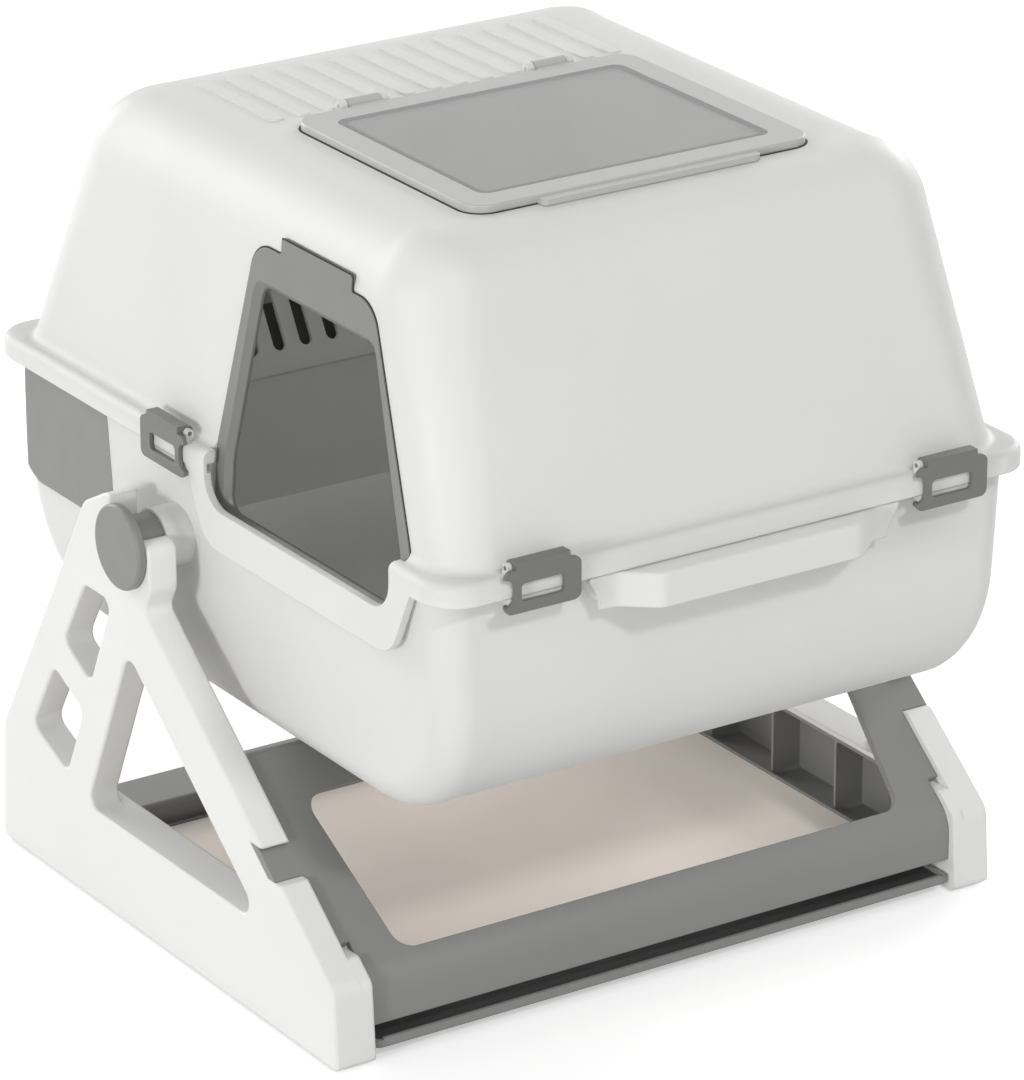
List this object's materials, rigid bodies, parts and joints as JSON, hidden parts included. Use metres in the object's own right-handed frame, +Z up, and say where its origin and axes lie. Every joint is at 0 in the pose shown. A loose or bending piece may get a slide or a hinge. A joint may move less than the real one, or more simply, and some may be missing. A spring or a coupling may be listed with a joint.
{
  "type": "sifting litter box",
  "caption": "Hooded litter box with a side entrance and a skylight, hung on A-shaped side frames so that it rolls back and sifts its litter into a waste drawer.",
  "frame": {"origin": "on the floor, under the middle of the overall box at rest", "axes": "+Z up, +Y from the front handle towards the waste drawer, -X towards the side with the entrance"},
  "size_m": [0.512, 0.562, 0.5293],
  "materials": {
    "white_plastic": "satin moulded white plastic",
    "grey_plastic": "satin moulded mid grey plastic",
    "light_grey_plastic": "satin moulded grey plastic",
    "smoked_pane": "smooth smoked clear plastic",
    "beige_mat": "matte beige sheet",
    "rubber_pads": "matte dark rubber",
    "steel": "plain steel"
  },
  "bodies": {
    "base": {"left_side_frame": "white_plastic", "right_side_frame": "white_plastic", "front_panel": "grey_plastic", "rear_crossbar": "grey_plastic", "left_side_liner": "grey_plastic", "right_side_liner": "grey_plastic", "frame_screws": "steel", "foot_pads": "rubber_pads", "rest_pads": "rubber_pads"},
    "tray": {"base_tray": "grey_plastic", "floor_mat": "beige_mat"},
    "box": {"lower_pan": "white_plastic", "pan_handle": "white_plastic", "hood": "white_plastic", "entrance_frame": "light_grey_plastic", "left_pivot_knob": "light_grey_plastic", "right_pivot_knob": "light_grey_plastic", "pivot_screws": "steel", "sifting_grate": "white_plastic", "clip_pins": "steel", "skylight_hinge_pins": "steel"},
    "skylight": {"skylight_frame": "light_grey_plastic", "skylight_pane": "smoked_pane"},
    "clip_front_left": {"front_left_clip": "grey_plastic"},
    "clip_front_right": {"front_right_clip": "grey_plastic"},
    "clip_left": {"left_clip": "grey_plastic"},
    "clip_right": {"right_clip": "grey_plastic"},
    "drawer": {"waste_drawer": "light_grey_plastic"}
  },
  "joints": [
    {"name": "box_roll", "type": "hinge", "parent": "base", "child": "box", "pos_m": [0, 0.057, 0.266], "axis": [1, 0, 0], "range_deg": [-85, 0]},
    {"name": "tray_slide", "type": "slide", "parent": "base", "child": "tray", "axis": [0, -1, 0], "range_m": [0, 0.25]},
    {"name": "skylight_hinge", "type": "hinge", "parent": "box", "child": "skylight", "pos_m": [0, 0.0595, 0.5253], "axis": [-1, 0, 0], "range_deg": [0, 100]},
    {"name": "clip_front_left_hinge", "type": "hinge", "parent": "box", "child": "clip_front_left", "pos_m": [-0.151, -0.2615, 0.3428], "axis": [-1, 0, 0], "range_deg": [0, 90]},
    {"name": "clip_front_right_hinge", "type": "hinge", "parent": "box", "child": "clip_front_right", "pos_m": [0.151, -0.2615, 0.3428], "axis": [-1, 0, 0], "range_deg": [0, 90]},
    {"name": "clip_left_hinge", "type": "hinge", "parent": "box", "child": "clip_left", "pos_m": [-0.2165, 0.053, 0.3428], "axis": [0, 1, 0], "range_deg": [0, 90]},
    {"name": "clip_right_hinge", "type": "hinge", "parent": "box", "child": "clip_right", "pos_m": [0.2165, 0.053, 0.3428], "axis": [0, -1, 0], "range_deg": [0, 90]},
    {"name": "drawer_slide", "type": "slide", "parent": "box", "child": "drawer", "axis": [0, 1, 0], "range_m": [0, 0.16]}
  ]
}
